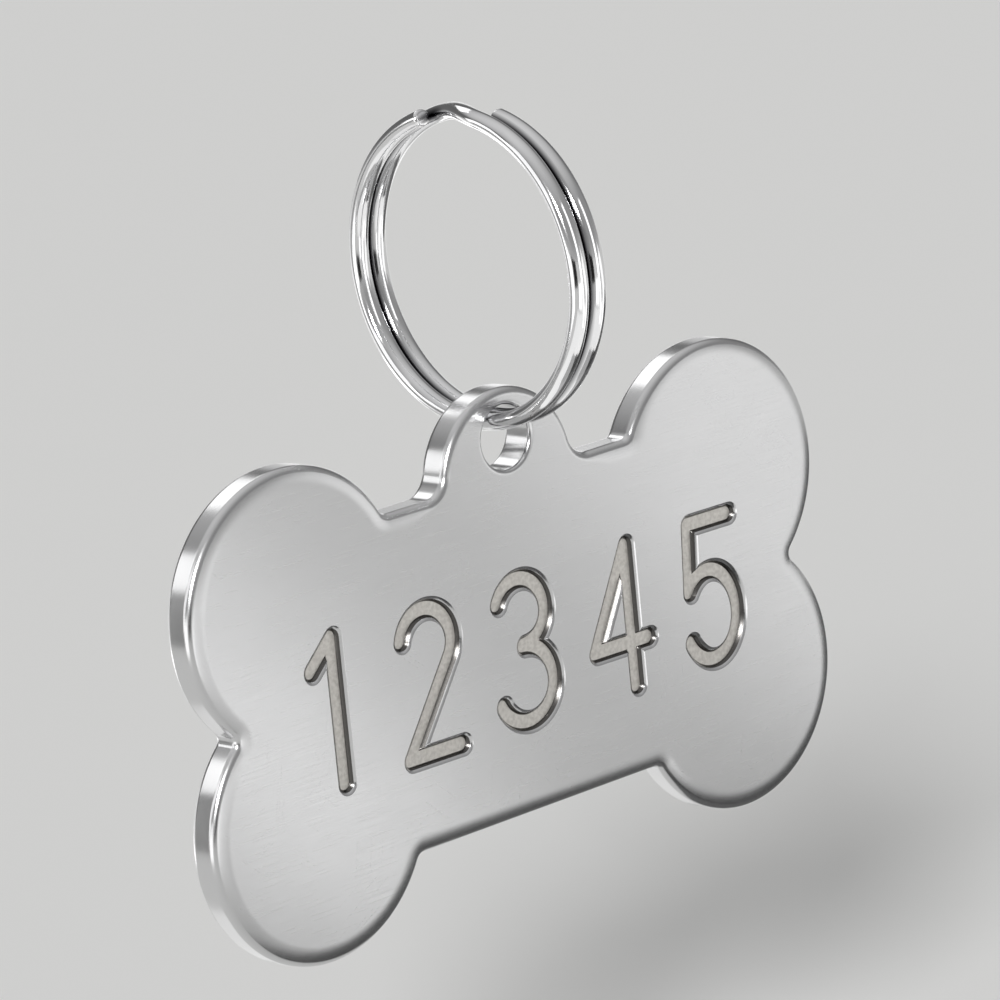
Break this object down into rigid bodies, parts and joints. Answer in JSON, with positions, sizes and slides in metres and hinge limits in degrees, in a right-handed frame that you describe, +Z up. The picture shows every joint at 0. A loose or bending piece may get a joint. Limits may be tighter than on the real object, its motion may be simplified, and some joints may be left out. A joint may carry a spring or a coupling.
{
  "type": "pet id tag",
  "caption": "Flat bone-shaped steel tag with rounded polished edges and a holed ear, swinging on a wire split ring that hangs from a pet's collar.",
  "frame": {"origin": "inside the top of the split ring, on its middle plane, where the collar's ring bears", "axes": "+Z up as the tag hangs, +X along the bone and along the split ring's axis, and -Y out of the tag's engraved face"},
  "size_m": [0.04, 0.015, 0.0365],
  "materials": {
    "tag_steel": "satin face with a fine grain, polished rounded edges",
    "ring_wire": "bright nickel-plated spring wire"
  },
  "bodies": {
    "ring": {"split_ring": "ring_wire"},
    "tag": {"bone_tag": "tag_steel"}
  },
  "joints": [
    {"name": "tag_swing", "type": "hinge", "parent": "ring", "child": "tag", "pos_m": [0, 0, -0.01459], "axis": [0, 1, 0], "range_deg": [-80, 80]}
  ]
}
